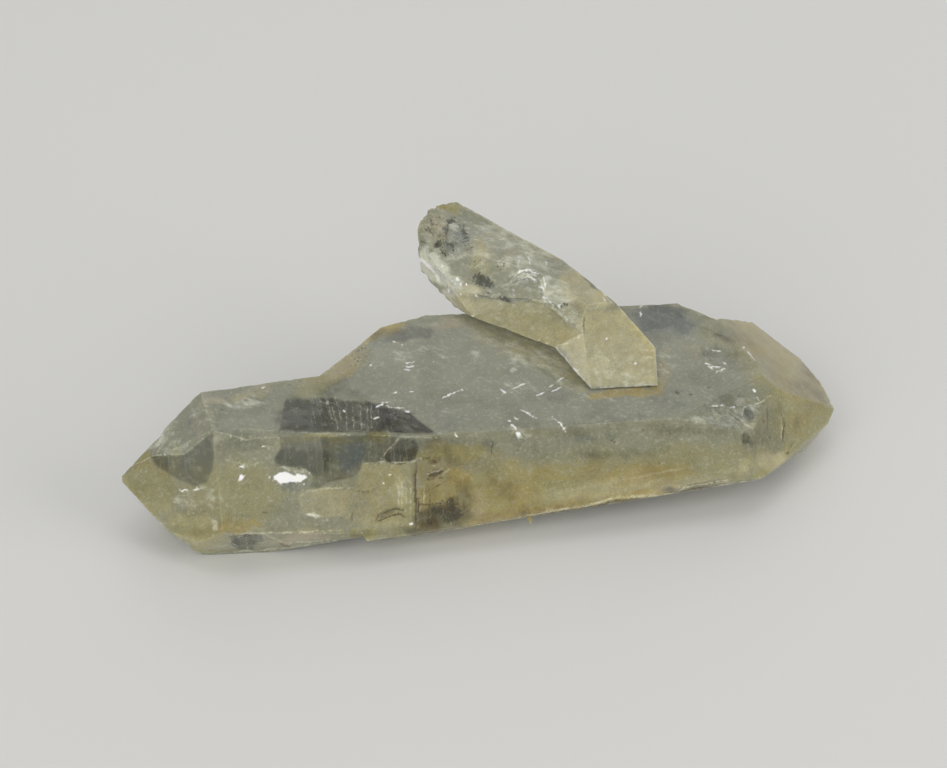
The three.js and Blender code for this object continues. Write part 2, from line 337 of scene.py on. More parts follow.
SMALL_SPOTS = {
    "olive": [
        (432, 228, 18, 24, 0, 0.3), (612, 322, 28, 16, 20, 0.3), (480, 268, 10, 18, -40, 0.6),
        (545, 328, 44, 12, 30, 0.7), (445, 206, 20, 6, 0, 0.9),
    ],
    "ochre": [
        (642, 328, 26, 8, 53, 1.0), (570, 338, 20, 13, 30, 0.7), (515, 330, 60, 8, 22, 0.3),
        (648, 350, 10, 32, 0, 0.4), (481, 244, 6, 14, -25, 0.7), (445, 210, 16, 6, 0, 0.4),
        (545, 340, 40, 6, 28, 0.5), (652, 350, 6, 14, 0, 0.4),
    ],
    "peach": [
        (440, 222, 14, 14, 0, 0.4), (570, 280, 12, 14, 30, 0.5), (500, 314, 34, 10, 22, 0.4),
        (640, 345, 12, 8, 0, 0.5), (590, 340, 10, 12, 0, 0.3),
    ],
    "cream": [
        (500, 262, 90, 50, 32, 0.3), (580, 288, 26, 22, 40, 0.7), (600, 325, 22, 22, 0, 0.5),
        (640, 350, 20, 34, 0, 0.6), (478, 256, 10, 18, -25, 0.5), (575, 300, 14, 22, 20, 0.5),
        (615, 358, 30, 30, 0, 0.5), (583, 366, 12, 26, -25, 0.5), (598, 300, 12, 5, 25, 0.9),
        (472, 292, 14, 8, 20, 0.9), (572, 318, 16, 12, 40, 0.5), (620, 380, 36, 8, 0, 0.6),
        (462, 302, 20, 8, 25, 0.8), (430, 222, 12, 12, 0, 0.4),
    ],
    "veil_and_painted_light": [
        (500, 262, 90, 50, 32, 0.3), (525, 263, 14, 12, 20, 0.6), (504, 264, 12, 10, 30, 0.6),
        (546, 286, 14, 12, 45, 0.5), (436, 268, 16, 28, -45, 1.0), (452, 284, 16, 15, 0, 0.75),
        (470, 290, 14, 8, 20, 0.6), (466, 288, 8, 10, 0, 0.5), (620, 374, 28, 10, 0, 0.4),
        (548, 298, 9, 5, 35, 0.8), (572, 312, 14, 7, 42, 0.6), (525, 254, 50, 14, 30, 0.42),
        (495, 230, 22, 9, 30, 0.45), (560, 295, 18, 14, 40, 0.6), (566, 318, 14, 8, 40, 0.6),
        (455, 228, 5, 7, 0, 1.0), (456, 254, 9, 6, 0, 0.6), (586, 312, 8, 20, 35, 0.3),
        (602, 364, 18, 16, 0, 0.5), (510, 324, 60, 6, 22, 0.2), (440, 278, 9, 12, -40, 1.0),
    ],
    "blue": [(456, 238, 13, 20, 20, 0.8), (572, 312, 14, 6, 45, 0.3)],
    "brown": [(604, 392, 12, 3, 0, 0.5)],
    "speck": [
        (453, 221, 8, 4, 0, 1.2), (446, 233, 3, 8, 10, 1.1), (463, 229, 3, 9, -10, 0.9),
        (446, 248, 12, 8, 25, 0.7), (464, 242, 8, 12, -20, 0.6), (437, 246, 5, 5, 0, 1.3),
        (472, 260, 12, 8, 35, 0.5), (486, 285, 11, 8, 35, 1.3), (506, 297, 8, 4, 25, 1.0),
        (430, 222, 14, 16, 0, 0.6), (562, 306, 5, 4, 0, 0.9), (500, 265, 6, 10, 0, 0.5),
        (478, 278, 8, 10, 0, 0.6),
    ],
    "deep_and_shade": [
        (455, 236, 13, 20, 10, 0.35), (486, 285, 13, 8, 35, 0.6), (507, 297, 10, 5, 25, 0.4),
        (515, 293, 30, 7, 22, 0.2),
    ],
}
SMALL_PATCHES = {
    "olive": [
        (0.55, 1.5, SMALL_LOWER_FACE),
    ],
    "cream": [
        (0.55, 2, SMALL_LOWER_FACE),
        (0.72, 3, [(583, 310), (640, 308), (657, 345), (656, 388), (590, 388), (560, 348)]),
    ],
    "veil_and_painted_light": [
        (0.25, 6, [(586, 350), (640, 345), (652, 360), (654, 386), (594, 386)]),
    ],
}

# Clear windows: how clear each is, the softness of its edge and its outline
LONG_WINDOWS = [
    (0.7, 1.8, [(151, 457), (160, 455), (178, 456), (188, 453), (213, 432), (214, 455),
                 (213, 470), (208, 482), (196, 486), (180, 480), (160, 468)]),
    (0.9, 1.8, [(286, 400), (334, 399), (344, 432), (279, 432)]),
    (0.75, 1.6, [(316, 399), (386, 404), (388, 433), (326, 432)]),
    (0.9, 1.4, [(366, 401), (389, 407), (410, 413), (436, 434), (368, 433)]),
    (0.85, 2, [(280, 448), (300, 447), (344, 443), (342, 478), (313, 476), (306, 469),
               (290, 467), (275, 466), (274, 459)]),
    (0.6, 2, [(322, 445), (345, 435), (366, 436), (366, 450), (361, 471), (350, 477),
              (330, 482), (320, 488), (310, 487), (313, 476), (320, 476)]),
    (0.85, 1.3, [(394, 445), (400, 438), (415, 439), (419, 447), (415, 460), (400, 464),
                 (385, 462), (383, 456)]),
    (0.7, 2, [(280, 436), (345, 436), (400, 435), (396, 444), (380, 463), (364, 463),
              (364, 450), (336, 445), (300, 449), (280, 449)]),
    (0.4, 4, [(757, 414), (770, 408), (783, 412), (784, 444), (754, 445)]),
    (0.2, 6, [(560, 440), (640, 434), (730, 432), (740, 446), (640, 450), (560, 452)]),
]
SMALL_WINDOWS = [
    (0.8, 1.0, [(581, 275), (588, 276), (598, 290), (592, 289)]),
    (0.3, 3, [(443, 222), (452, 217), (461, 226), (464, 250), (450, 256)]),
]

# Thin lines by half their width, each through its points: bright glints, which
# are painted highlights, pale lines and dark lines
GLINTS = {
    0.4: [[(723, 362), (727, 365)], [(707, 366), (713, 370)], [(716, 366), (722, 371)]],
    0.5: [
        [(456, 392), (464, 390)], [(512, 389), (525, 384)], [(556, 382), (566, 375)],
        [(513, 417), (518, 421)], [(392, 394), (397, 393)], [(385, 406), (398, 408), (404, 408)],
        [(747, 352), (755, 361)], [(757, 397), (760, 401)], [(716, 372), (725, 369)],
        [(640, 307), (642, 307)],
    ],
    0.6: [
        [(393, 342), (395, 343)], [(549, 387), (553, 385)], [(704, 364), (711, 366)],
        [(712, 406), (724, 405)], [(262, 389), (264, 389)], [(194, 489), (199, 489)],
        [(181, 491), (189, 490)], [(263, 446), (266, 446)], [(240, 466), (244, 468)],
    ],
    0.7: [
        [(405, 364), (415, 363)], [(404, 371), (410, 371)], [(401, 345), (403, 346)],
        [(536, 396), (545, 392)], [(552, 417), (560, 424), (566, 433)], [(409, 392), (413, 391)],
        [(381, 403), (390, 402)], [(343, 411), (345, 412)], [(388, 475), (391, 475)],
        [(712, 350), (722, 352)], [(709, 368), (721, 367)], [(730, 407), (734, 408)],
    ],
    0.8: [
        [(309, 473), (310, 473)], [(296, 473), (300, 475)], [(370, 365), (371, 365)],
        [(552, 392), (562, 387)], [(520, 410), (528, 414), (537, 419)],
    ],
    0.9: [
        [(269, 478), (270, 478)], [(405, 368), (414, 367)], [(443, 399), (450, 395), (456, 392)],
        [(501, 390), (506, 393)], [(511, 425), (517, 431)], [(374, 419), (379, 418)],
        [(409, 523), (413, 523)], [(743, 348), (744, 348)], [(641, 312), (641, 318)],
    ],
    1.0: [
        [(304, 484), (305, 484)], [(508, 421), (511, 422)], [(455, 433), (458, 437)],
        [(405, 411), (410, 413)],
    ],
    1.1: [[(376, 407), (384, 404)]],
    1.2: [[(433, 363), (434, 363)], [(383, 484), (384, 483)]],
    1.4: [[(753, 390), (756, 392)]],
    2.0: [[(516, 433), (520, 435)]],
    2.3: [[(241, 475), (241, 480)]],
    3.8: [[(288, 479), (306, 477)]],
    6.0: [[(275, 478), (292, 477)]],
}
# Painted highlights on the small crystal
SMALL_GLINTS = {
    0.4: [[(520, 258), (518, 266)]],
    0.5: [[(528, 257), (530, 266)], [(546, 263), (547, 267)], [(603, 297), (606, 300)]],
    0.6: [
        [(460, 283), (462, 287)], [(432, 268), (435, 267)], [(461, 295), (462, 295)],
        [(513, 278), (519, 272), (528, 270), (538, 275)], [(518, 280), (528, 276), (538, 282)],
        [(538, 286), (545, 290)], [(541, 295), (549, 300), (553, 305)],
    ],
    0.7: [
        [(443, 276), (444, 276)], [(442, 265), (443, 267)], [(455, 285), (456, 284)],
        [(499, 240), (503, 239)], [(543, 278), (546, 288)], [(558, 305), (561, 309)],
    ],
    0.8: [[(441, 300), (446, 309)], [(575, 368), (580, 375)]],
    0.9: [[(452, 281), (453, 281)], [(606, 339), (608, 339)]],
    1.1: [[(449, 288), (450, 292)]],
    1.2: [[(466, 286), (467, 284)]],
    1.3: [[(635, 364), (636, 364)]],
    1.4: [[(475, 295), (477, 295)]],
    1.5: [[(457, 278), (460, 281)]],
    1.6: [[(437, 273), (440, 282)]],
    1.9: [[(418, 255), (427, 263), (437, 273)]],
}
# Pale lines: growth lines, and painted highlights along edges such as the left tip's edge, the
# hump's ridge and the lower edges
PALE_LINES = {
    0.4: [
        [(335, 396), (341, 421)], [(352, 401), (354, 431)], [(360, 403), (361, 431)],
        [(328, 402), (333, 426)], [(230, 541), (238, 546)], [(180, 453), (191, 441)],
    ],
    0.5: [
        [(331, 405), (338, 432)], [(345, 399), (347, 431)], [(371, 404), (372, 431)],
        [(367, 402), (368, 431)], [(215, 432), (232, 435), (245, 440), (262, 438), (280, 437)],
        [(398, 484), (398, 506)], [(406, 485), (406, 503)], [(410, 488), (410, 520)],
        [(424, 484), (424, 503)], [(434, 501), (442, 502)], [(158, 455), (166, 443)],
        [(165, 455), (175, 440)], [(172, 455), (183, 439)], [(781, 412), (781, 440)],
    ],
    0.6: [
        [(324, 396), (329, 408)], [(280, 432), (340, 434), (443, 438)], [(258, 430), (276, 431)],
        [(262, 446), (280, 447)], [(128, 469), (152, 457), (186, 453), (213, 431)],
        [(247, 537), (247, 549)], [(237, 536), (243, 536)], [(402, 482), (402, 507)],
        [(362, 464), (380, 462), (413, 462), (427, 454)], [(428, 475), (444, 469)],
        [(560, 513), (590, 508), (620, 503), (650, 500)], [(274, 467), (300, 468), (312, 475)],
        [(380, 460), (388, 450), (397, 440)], [(745, 432), (754, 426)], [(184, 549), (200, 554)],
    ],
    0.7: [
        [(178, 490), (190, 491), (206, 487)],
        [(232, 462), (240, 463), (243, 467), (254, 465), (262, 461)],
        [(298, 499), (305, 493), (320, 489), (353, 487)], [(227, 534), (285, 532), (342, 530)],
        [(287, 543), (310, 541), (338, 538)], [(352, 490), (352, 515)],
        [(680, 494), (697, 491), (728, 484), (766, 478)],
        [(752, 408), (757, 404), (762, 402), (772, 395)], [(742, 416), (743, 408), (749, 405)],
    ],
    0.8: [
        [(264, 533), (271, 537), (282, 541)], [(258, 540), (259, 540)], [(443, 475), (449, 469)],
    ],
    0.9: [
        [(215, 553), (250, 551), (290, 547), (344, 539)], [(433, 466), (436, 467)],
        [(463, 528), (496, 522), (526, 516), (560, 509), (585, 506), (610, 499), (622, 497),
         (660, 495), (672, 493), (685, 487), (728, 480)],
    ],
    1.2: [[(304, 514), (323, 515)]],
}
# Pale lines on the small crystal: painted highlights along its edges, and a few pale lines on its
# end
SMALL_PALE_LINES = {
    0.5: [
        [(512, 303), (538, 299), (555, 308), (581, 333)], [(640, 350), (655, 350)],
        [(642, 357), (655, 358)],
    ],
    0.6: [[(585, 273), (600, 289), (614, 306)]],
    0.8: [
        [(448, 295), (462, 311), (500, 330), (556, 348)], [(556, 347), (570, 342), (583, 334)],
        [(556, 347), (592, 388)], [(592, 388), (656, 385)],
    ],
}
# Dark lines: cracks, and painted shade along the lower edge
DARK_LINES = {
    0.5: [[(432, 489), (446, 480)]],
    0.6: [
        [(430, 488), (430, 517)], [(353, 491), (373, 491)], [(767, 404), (767, 430)],
        [(791, 447), (794, 441)], [(727, 412), (740, 421)], [(220, 410), (224, 411)],
    ],
    0.7: [
        [(353, 512), (353, 522)], [(262, 512), (268, 513)], [(242, 514), (243, 517)],
        [(245, 503), (246, 503)], [(204, 511), (206, 512)], [(610, 440), (617, 443)],
        [(310, 488), (326, 481), (357, 474)], [(232, 534), (243, 535)], [(249, 536), (260, 534)],
    ],
    0.8: [
        [(434, 527), (440, 526)], [(426, 514), (430, 519)], [(465, 488), (467, 495)],
        [(376, 521), (379, 514)], [(762, 417), (764, 423)], [(769, 434), (770, 439)],
        [(744, 412), (750, 419), (756, 418)], [(643, 431), (644, 431)], [(574, 452), (575, 453)],
        [(514, 453), (515, 454)], [(492, 440), (492, 455)], [(287, 442), (288, 444)],
    ],
    0.9: [
        [(445, 502), (450, 505)], [(456, 496), (458, 501)], [(463, 502), (465, 509)],
        [(447, 520), (451, 524)], [(425, 458), (431, 456)], [(748, 433), (748, 443)],
        [(780, 411), (784, 424), (782, 441)], [(266, 537), (267, 538)], [(279, 537), (280, 538)],
    ],
    1.0: [[(434, 519), (439, 522)], [(743, 433), (743, 446)], [(659, 464), (660, 464)]],
    1.1: [
        [(418, 504), (436, 504)], [(688, 395), (692, 396)], [(707, 387), (709, 388)],
        [(281, 544), (282, 544)],
    ],
    1.2: [
        [(419, 497), (419, 514)], [(449, 512), (450, 514)], [(438, 479), (442, 477)],
        [(379, 514), (392, 509), (404, 510)], [(376, 521), (390, 516), (398, 514), (407, 517)],
        [(787, 452), (789, 454)],
    ],
    1.3: [
        [(463, 529), (480, 527), (496, 524), (526, 518), (560, 511), (585, 508), (600, 505),
         (610, 502), (622, 500), (640, 499), (660, 497), (672, 495), (685, 490), (728, 483)],
    ],
    1.4: [
        [(417, 467), (415, 485), (416, 505), (416, 530)], [(434, 504), (442, 503)],
        [(427, 479), (430, 480)], [(675, 392), (679, 393)],
    ],
    1.5: [[(432, 518), (436, 523)]],
    1.6: [[(457, 518), (463, 517)], [(432, 459), (437, 463)]],
    1.9: [[(429, 476), (436, 474), (444, 471)]],
    2.0: [[(453, 507), (455, 511)]],
    2.4: [[(438, 510), (442, 514)]],
}
# The line from (606, 389) to (656, 385), where the small crystal meets the hump, is a stain with
# painted shade.
SMALL_DARK_LINES = {
    0.5: [[(584, 312), (584, 334)]],
    0.6: [
        [(430, 213), (433, 211)], [(438, 213), (441, 210)], [(519, 269), (528, 270), (531, 272)],
    ],
    0.7: [
        [(425, 228), (430, 232), (434, 236)], [(431, 225), (434, 226)],
        [(581, 276), (591, 279), (598, 290)],
    ],
    0.8: [
        [(446, 238), (448, 225), (454, 218), (460, 222)], [(463, 224), (464, 234)],
        [(441, 250), (448, 257)], [(466, 250), (473, 248)],
    ],
    0.9: [[(480, 276), (482, 282)]],
    1.0: [[(606, 389), (640, 388), (656, 385)], [(486, 292), (490, 294)]],
    1.6: [[(436, 243), (438, 247)]],
}

# The step on the left tip, one growth layer that ends short of the edges
TIP_STEP = [(152, 458), (183, 457), (216, 433), (222, 400), (196, 396), (165, 425)]

# Where the small crystal is broken off and where the right end is chipped, as spots
BROKEN_END = (425, 235, 22, 48, 10, 1)
CHIP = (716, 352, 15, 13, 0, 1)

# Ripples where the surface broke: the middle that they spread from, how far
# they reach and their wave length in pixels, and their height in millimetres
RIPPLES = [
    (526, 292, 24, 5.5, 0.05),
    (700, 470, 60, 7, 0.012),
]

# Clouds of each tint on the far sides: the grain's size in millimetres, where
# it begins and where it is full, and its strength
FAR_CLOUDS = {
    "olive": (9, -0.4, 0.6, 0.5),
    "ochre": (7, 0.0, 0.7, 0.7),
    "peach": (8, 0.0, 0.7, 0.5),
    "cream": (6, -0.3, 0.6, 0.7),
    "veil_and_painted_light": (7, -0.4, 0.7, 0.65),
    "blue": (9, 0.3, 0.8, 0.3),
    "brown": (3, 0.5, 0.9, 0.6),
    "speck": (4, 0.4, 0.9, 0.5),
    "deep_and_shade": (7, 0.4, 0.9, 0.3),
}

# The least olive on the front faces of the long crystals
FRONT_OLIVE = 0.3

# Clear blocks on the far sides: their size and how ragged their sides are in
# millimetres, how rare they are and how clear. A window's field ends at its
# span, counted in widths of its soft edge.
FAR_BLOCK = (7.5, 5, 4.2)
FAR_RAGGED = 0.5
FAR_RARE = 0.2
FAR_CLEARNESS = 0.75
WINDOW_SPAN = 4.0


def view_back():
    """The way from the object to the camera."""
    level = math.cos(ELEVATION)
    return Vector((math.sin(AZIMUTH) * level, -math.cos(AZIMUTH) * level, math.sin(ELEVATION)))


def camera_place():
    return LOOK_AT + view_back() * CAMERA_REACH


def on_photo(points):
    """Where points of the frame fall in the photograph, in its pixels."""
    back = np.array(view_back())
    right = np.array((math.cos(AZIMUTH), math.sin(AZIMUTH), 0))
    above = np.cross(back, right)
    away = points - np.array(camera_place())
    zoom = PIXELS_PER_MM / MM * CAMERA_REACH / -(away @ back)
    across = PHOTO_WIDE / 2 + zoom * (away @ right)
    down = PHOTO_HIGH / 2 - zoom * (away @ above)
    return np.stack([across, down], 1)


def grain(points, size, salt, stretch=(1, 1, 1)):
    """Smooth noise of about -1 to 1 with grains of that size in millimetres.
    Each salt gives another noise."""
    scaled = points * (np.array(stretch) / (size * MM)) + salt
    return np.array([noise.noise(Vector(p)) for p in scaled])


def smooth(values, low, high):
    """0 below low, 1 above high and smooth between."""
    share = np.clip((values - low) / (high - low), 0, 1)
    return share * share * (3 - 2 * share)


def band(values, start, full, fade, end):
    """1 from full to fade, and 0 before start and after end."""
    return smooth(values, start, full) * (1 - smooth(values, fade, end))


def segment_gap(at, a, b):
    """Distance to the segment from a to b, and how far along it that is."""
    a = np.array(a, float)
    run = np.array(b, float) - a
    share = np.clip(((at - a) @ run) / (run @ run), 0, 1)
    foot = a + share[:, None] * run
    return np.hypot(at[:, 0] - foot[:, 0], at[:, 1] - foot[:, 1]), share


def inside(at, corners):
    """Distance from an outline's edge in pixels, positive inside."""
    near = np.full(len(at), 1e9)
    crossings = np.zeros(len(at), int)
    for a, b in zip(corners, [*corners[1:], corners[0]]):
        near = np.minimum(near, segment_gap(at, a, b)[0])
        if a[1] != b[1]:
            straddles = (a[1] > at[:, 1]) != (b[1] > at[:, 1])
            x_there = a[0] + (at[:, 1] - a[1]) * (b[0] - a[0]) / (b[1] - a[1])
            crossings += straddles & (at[:, 0] < x_there)
    return np.where(crossings % 2 == 1, near, -near)


def spot(at, x, y, wide, high, turn, strength):
    """A soft oval spot."""
    c, s = math.cos(math.radians(turn)), math.sin(math.radians(turn))
    dx, dy = at[:, 0] - x, at[:, 1] - y
    reach = np.hypot((dx * c + dy * s) / wide, (dy * c - dx * s) / high)
    return strength * (1 - smooth(reach, 0.5, 1.3))


def tint(look, name, spots, patches):
    """The strongest of a tint's spots and patches."""
    total = np.zeros(len(look["at"]))
    for listed in spots.get(name, []):
        total = np.maximum(total, spot(look["drifted"], *listed))
    for strength, soft, corners in patches.get(name, []):
        share = smooth(inside(look["warped"], corners), -soft, soft)
        total = np.maximum(total, strength * share)
    return total


def line_gap(at, *kinds):
    """Distance from the edge of the nearest line, negative on the line. Lines
    grow thin towards their ends."""
    best = np.full(len(at), 99.0)
    strokes = [
        (half, points) for kind in kinds for half, lines in kind.items() for points in lines
    ]
    for half, points in strokes:
        pieces = list(zip(points[:-1], points[1:]))
        lengths = [math.dist(a, b) for a, b in pieces]
        gone = 0
        for (a, b), length in zip(pieces, lengths):
            gap, share = segment_gap(at, a, b)
            along = (gone + share * length) / sum(lengths)
            best = np.minimum(best, gap - half * (1 - 0.7 * abs(2 * along - 1) ** 3))
            gone += length
    return best


def beyond(points, face):
    """How far points are beyond a face of the long crystals."""
    heading, rise, reach = face
    yaw, pitch = math.radians(heading), math.radians(rise)
    level = math.cos(pitch)
    outward = np.array((level * math.cos(yaw), level * math.sin(yaw), math.sin(pitch)))
    return (points - np.array(LONG_MIDDLE)) @ outward - reach * MM


def on_small_crystal(points):
    above = (beyond(points, HUMP_TOP) > 0) & (beyond(points, LEFT_TOP) > 0)
    behind = (beyond(points, HUMP_BACK) > 0) & (points[:, 2] > HUMP_BACK_LOW)
    return above | behind


def facing_camera(points, normals):
    """1 where the surface faces the camera, 0 where it faces away."""
    way = np.array(camera_place()) - points
    way /= np.linalg.norm(way, axis=1)[:, None]
    return smooth((way * normals).sum(1), 0.02, 0.12)


# The mesh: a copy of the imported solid, cut finely

def merged_copy(node):
    shape = bmesh.new()
    shape.from_mesh(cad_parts[node].data)
    bmesh.ops.remove_doubles(shape, verts=shape.verts, dist=MERGE)
    bmesh.ops.dissolve_limit(
        shape, angle_limit=FLAT_ANGLE, verts=shape.verts, edges=shape.edges
    )
    return shape


def cut_across(shape, axis, squarest):
    """Cuts the faces that aren't square to the axis into strips."""
    faces = [f for f in shape.faces
             if abs(f.normal[axis]) < squarest and f.normal.z > LOOKS_DOWN]
    edges = {e for f in faces for e in f.edges}
    verts = {v for f in faces for v in f.verts}
    low = min(v.co[axis] for v in shape.verts)
    high = max(v.co[axis] for v in shape.verts)
    way = Vector((0, 0, 0))
    way[axis] = 1
    todo = [*verts, *edges, *faces]
    for i in range(1, int((high - low) / CELL) + 1):
        place = way * (low + (i - CELL_SHIFT) * CELL)
        cut = bmesh.ops.bisect_plane(
            shape, geom=todo, dist=MERGE, plane_co=place, plane_no=way
        )
        todo = cut["geom"]


def drop_slivers(shape):
    """Takes out the thinnest triangles, and the flaps that this leaves."""
    bmesh.ops.dissolve_degenerate(shape, dist=SLIVER, edges=shape.edges)
    bmesh.ops.triangulate(shape, faces=shape.faces)
    loose = [f for f in shape.faces if any(e.is_boundary for e in f.edges)]
    bmesh.ops.delete(shape, geom=loose, context="FACES")
    alike = {}
    for face in shape.faces:
        alike.setdefault(frozenset(face.verts), []).append(face)
    folded = [f for faces in alike.values() if len(faces) > 1 for f in faces]
    bmesh.ops.delete(shape, geom=folded, context="FACES")


def mark_edges(shape):
    """Keeps the crystal edges crisp, and gives points along them."""
    edges = [e for e in shape.edges if e.calc_face_angle(0) > SHARP_ANGLE]
    along = []
    for edge in edges:
        steps = max(1, int(edge.calc_length() / EDGE_STEP))
        a, b = [v.co for v in edge.verts]
        along += [a.lerp(b, i / steps) for i in range(steps)]
        edge.smooth = False
    return along


def arrays_of(shape):
    shape.normal_update()
    shape.verts.index_update()
    points = np.array([v.co for v in shape.verts])
    normals = np.array([v.normal for v in shape.verts])
    return points, normals


def refine_lines(shape):
    """Cuts the mesh finer where thin lines lie."""
    for reach in LINE_REACHES:
        points, normals = arrays_of(shape)
        at = on_photo(points)
        gap = np.where(
            on_small_crystal(points),
            line_gap(at, SMALL_GLINTS, SMALL_PALE_LINES, SMALL_DARK_LINES),
            line_gap(at, GLINTS, PALE_LINES, DARK_LINES),
        )
        near = (gap < reach) & (facing_camera(points, normals) > 0)
        edges = [e for e in shape.edges
                 if near[e.verts[0].index] and near[e.verts[1].index]]
        bmesh.ops.subdivide_edges(shape, edges=edges, cuts=1, use_grid_fill=True)
        crowded = [f for f in shape.faces if len(f.verts) > 3]
        bmesh.ops.triangulate(shape, faces=crowded)


def edge_gaps(points, along):
    """Distance to the nearest crystal edge, in millimetres."""
    tree = kdtree.KDTree(len(along))
    for i, place in enumerate(along):
        tree.insert(place, i)
    tree.balance()
    return np.array([tree.find(Vector(p))[2] for p in points]) / MM


# The relief: each form's height in millimetres

def growth_steps(look):
    """Low flat steps on the faces that look up."""
    steps = 3 * grain(look["points"], 5, 9.7, (0.7, 1, 1))
    whole = np.round(steps)
    flat_top = smooth(look["normals"][:, 2], 0.85, 0.95)
    return STEP_HIGH * flat_top * (whole + 0.3 * (steps - whole))


def striae(look):
    """Fine lines across the prism faces of the long crystals."""
    prism = 1 - smooth(abs(look["normals"][:, 0]), 0.2, 0.5)
    high = STRIAE_HIGH - SEEN_STRIAE_LOSS * look["facing"]
    lines = grain(look["points"], 1, 5.2, (1.4, 0.06, 0.06))
    return high * prism * (1 - look["small"]) * lines


def broken_share(look):
    """1 on the small crystal's broken end, round to its far side."""
    seen = spot(look["warped"], *BROKEN_END) * look["facing"]
    hidden = (1 - look["facing"]) * smooth(-look["points"][:, 0], -1 * MM, 2 * MM)
    return look["small"] * np.maximum(seen, hidden)


def rough_break(look, broken):
    rough = BREAK_COARSE * grain(look["points"], 1.6, 1.9)
    rough += BREAK_FINE * grain(look["points"], 0.6, 7.7)
    chip = spot(look["warped"], *CHIP) * look["facing"] * (1 - look["small"])
    return np.maximum(broken, CHIP_ROUGH * chip) * np.minimum(rough, BREAK_MOST)


def nibbles(look, broken):
    """Small bites out of the crystal edges, deeper where they are broken."""
    bite = smooth(grain(look["points"], 0.8, 2.3), 0.1, 0.5)
    return (NIBBLE_DEEP + BREAK_NIBBLE_DEEP * broken) * bite * (1 - smooth(look["edge"], 0.1, 0.45))


def ripples(look):
    """Low waves round where a break began."""
    at = look["warped"]
    lift = np.zeros(len(at))
    for x, y, reach, wave, high in RIPPLES:
        gap = np.hypot(at[:, 0] - x, at[:, 1] - y)
        share = band(gap / reach, 0.3, 0.4, 0.9, 1.1) * smooth(y - at[:, 1], -8, 4)
        lift += high * share * look["facing"] * np.sin(gap * 2 * math.pi / wave)
    return lift


def relief(look):
    """How far each point moves out, in metres."""
    broken = broken_share(look)
    lift = GROWTH + SWELL * grain(look["points"], 7, 3.1)
    lift += growth_steps(look) + striae(look) + rough_break(look, broken) + ripples(look)
    lift -= nibbles(look, broken)
    kink = smooth(inside(look["warped"], TIP_STEP), -1, 3) * look["facing"]
    lift += TIP_STEP_HIGH * kink * smooth(look["normals"][:, 2], 0.5, 0.7)
    lift += GLINT_HIGH * look["glint"] - CRACK_DEEP * look["dark_line"]
    above_rest = smooth(look["points"][:, 2], REST_LOW, REST_HIGH)
    return lift * look["shell"] * MM * above_rest


# The fields: what each point of the mesh shows

def crest_glints(look):
    """Painted highlights: broken bright arcs along the crests of the small crystal's ripples."""
    x, y, reach, wave, _ = RIPPLES[0]
    gap = np.hypot(look["at"][:, 0] - x, look["at"][:, 1] - y)
    crest = np.sin(gap * 2 * math.pi / wave) + 1.2 * grain(look["points"], 0.35, 6.1)
    near = band(gap / reach, 0.2, 0.4, 0.8, 1) * smooth(y - look["at"][:, 1], -8, 4)
    return smooth(crest, 0.9, 1.5) * near * look["facing"] * look["small"]


def line_share(look, long_lines, small_lines):
    """1 on the thin lines of each crystal, where it faces the camera."""
    at, small = look["shaken"], look["small"] > 0
    gap = np.where(small, line_gap(at, small_lines), line_gap(at, long_lines))
    ragged = 0.8 * look["fine_grain"] + 0.2
    return (1 - smooth(gap + ragged, -0.5, 0.7)) * look["facing"]


def look_over(shape, along):
    """What is known of each point of the mesh before its relief."""
    points, normals = arrays_of(shape)
    at = on_photo(points)
    warp = np.stack([grain(points, 1.3, 4.4), grain(points, 1.3, 8.8)], 1)
    drift = np.stack([grain(points, 3.1, 5.5), grain(points, 3.1, 9.9)], 1)
    shake = np.stack([grain(points, 0.35, 6.6), grain(points, 0.35, 3.3)], 1)
    look = {
        "points": points,
        "normals": normals,
        "shell": np.array([min(CORNER_MOST, v.calc_shell_factor()) for v in shape.verts]),
        "at": at,
        "drifted": at + DRIFT_REACH * drift + 2 * WARP_REACH * warp,
        "shaken": at + 0.6 * WARP_REACH * warp + SHAKE_REACH * shake,
        "warped": at + WARP_REACH * warp,
        "facing": facing_camera(points, normals),
        "small": on_small_crystal(points).astype(float),
        "edge": edge_gaps(points, along),
        "fine_grain": grain(points, 0.22, 1.4),
    }
    glint = line_share(look, GLINTS, SMALL_GLINTS)
    look["glint"] = np.maximum(glint, 0.8 * crest_glints(look))
    look["pale_line"] = line_share(look, PALE_LINES, SMALL_PALE_LINES)
    look["dark_line"] = line_share(look, DARK_LINES, SMALL_DARK_LINES)
    return look


def tint_fields(look):
    """Each tint's strength: drawn where seen, cloudy on the far sides."""
    fields = {}
    small, facing = look["small"], look["facing"]
    front = smooth(-look["normals"][:, 1], 0.6, 0.8)
    for i, (name, (size, least, most, strength)) in enumerate(FAR_CLOUDS.items()):
        on_long = tint(look, name, LONG_SPOTS, LONG_PATCHES)
        on_small = tint(look, name, SMALL_SPOTS, SMALL_PATCHES)
        drawn = np.where(small > 0, on_small, on_long)
        if name == "olive":
            drawn = np.maximum(drawn, FRONT_OLIVE * front * (1 - small))
        cloud = grain(look["points"], size, 2.7 + 3.1 * i)
        far = strength * smooth(cloud, least, most)
        fields[name] = facing * drawn + (1 - facing) * far
    return fields


def far_windows(look):
    """Clear blocks on the far sides, bounded as growth sectors are."""
    points = look["points"]
    ragged = FAR_RAGGED * MM * np.stack([grain(points, 1.5, s) for s in (2.2, 5.9, 7.4)], 1)
    block = np.floor((points + ragged) / (np.array(FAR_BLOCK) * MM))
    # Each block takes one value of the noise.
    clear = grain((block * 0.37 + 0.21) * MM, 1, 8.3)
    return 12 * (clear - FAR_RARE)


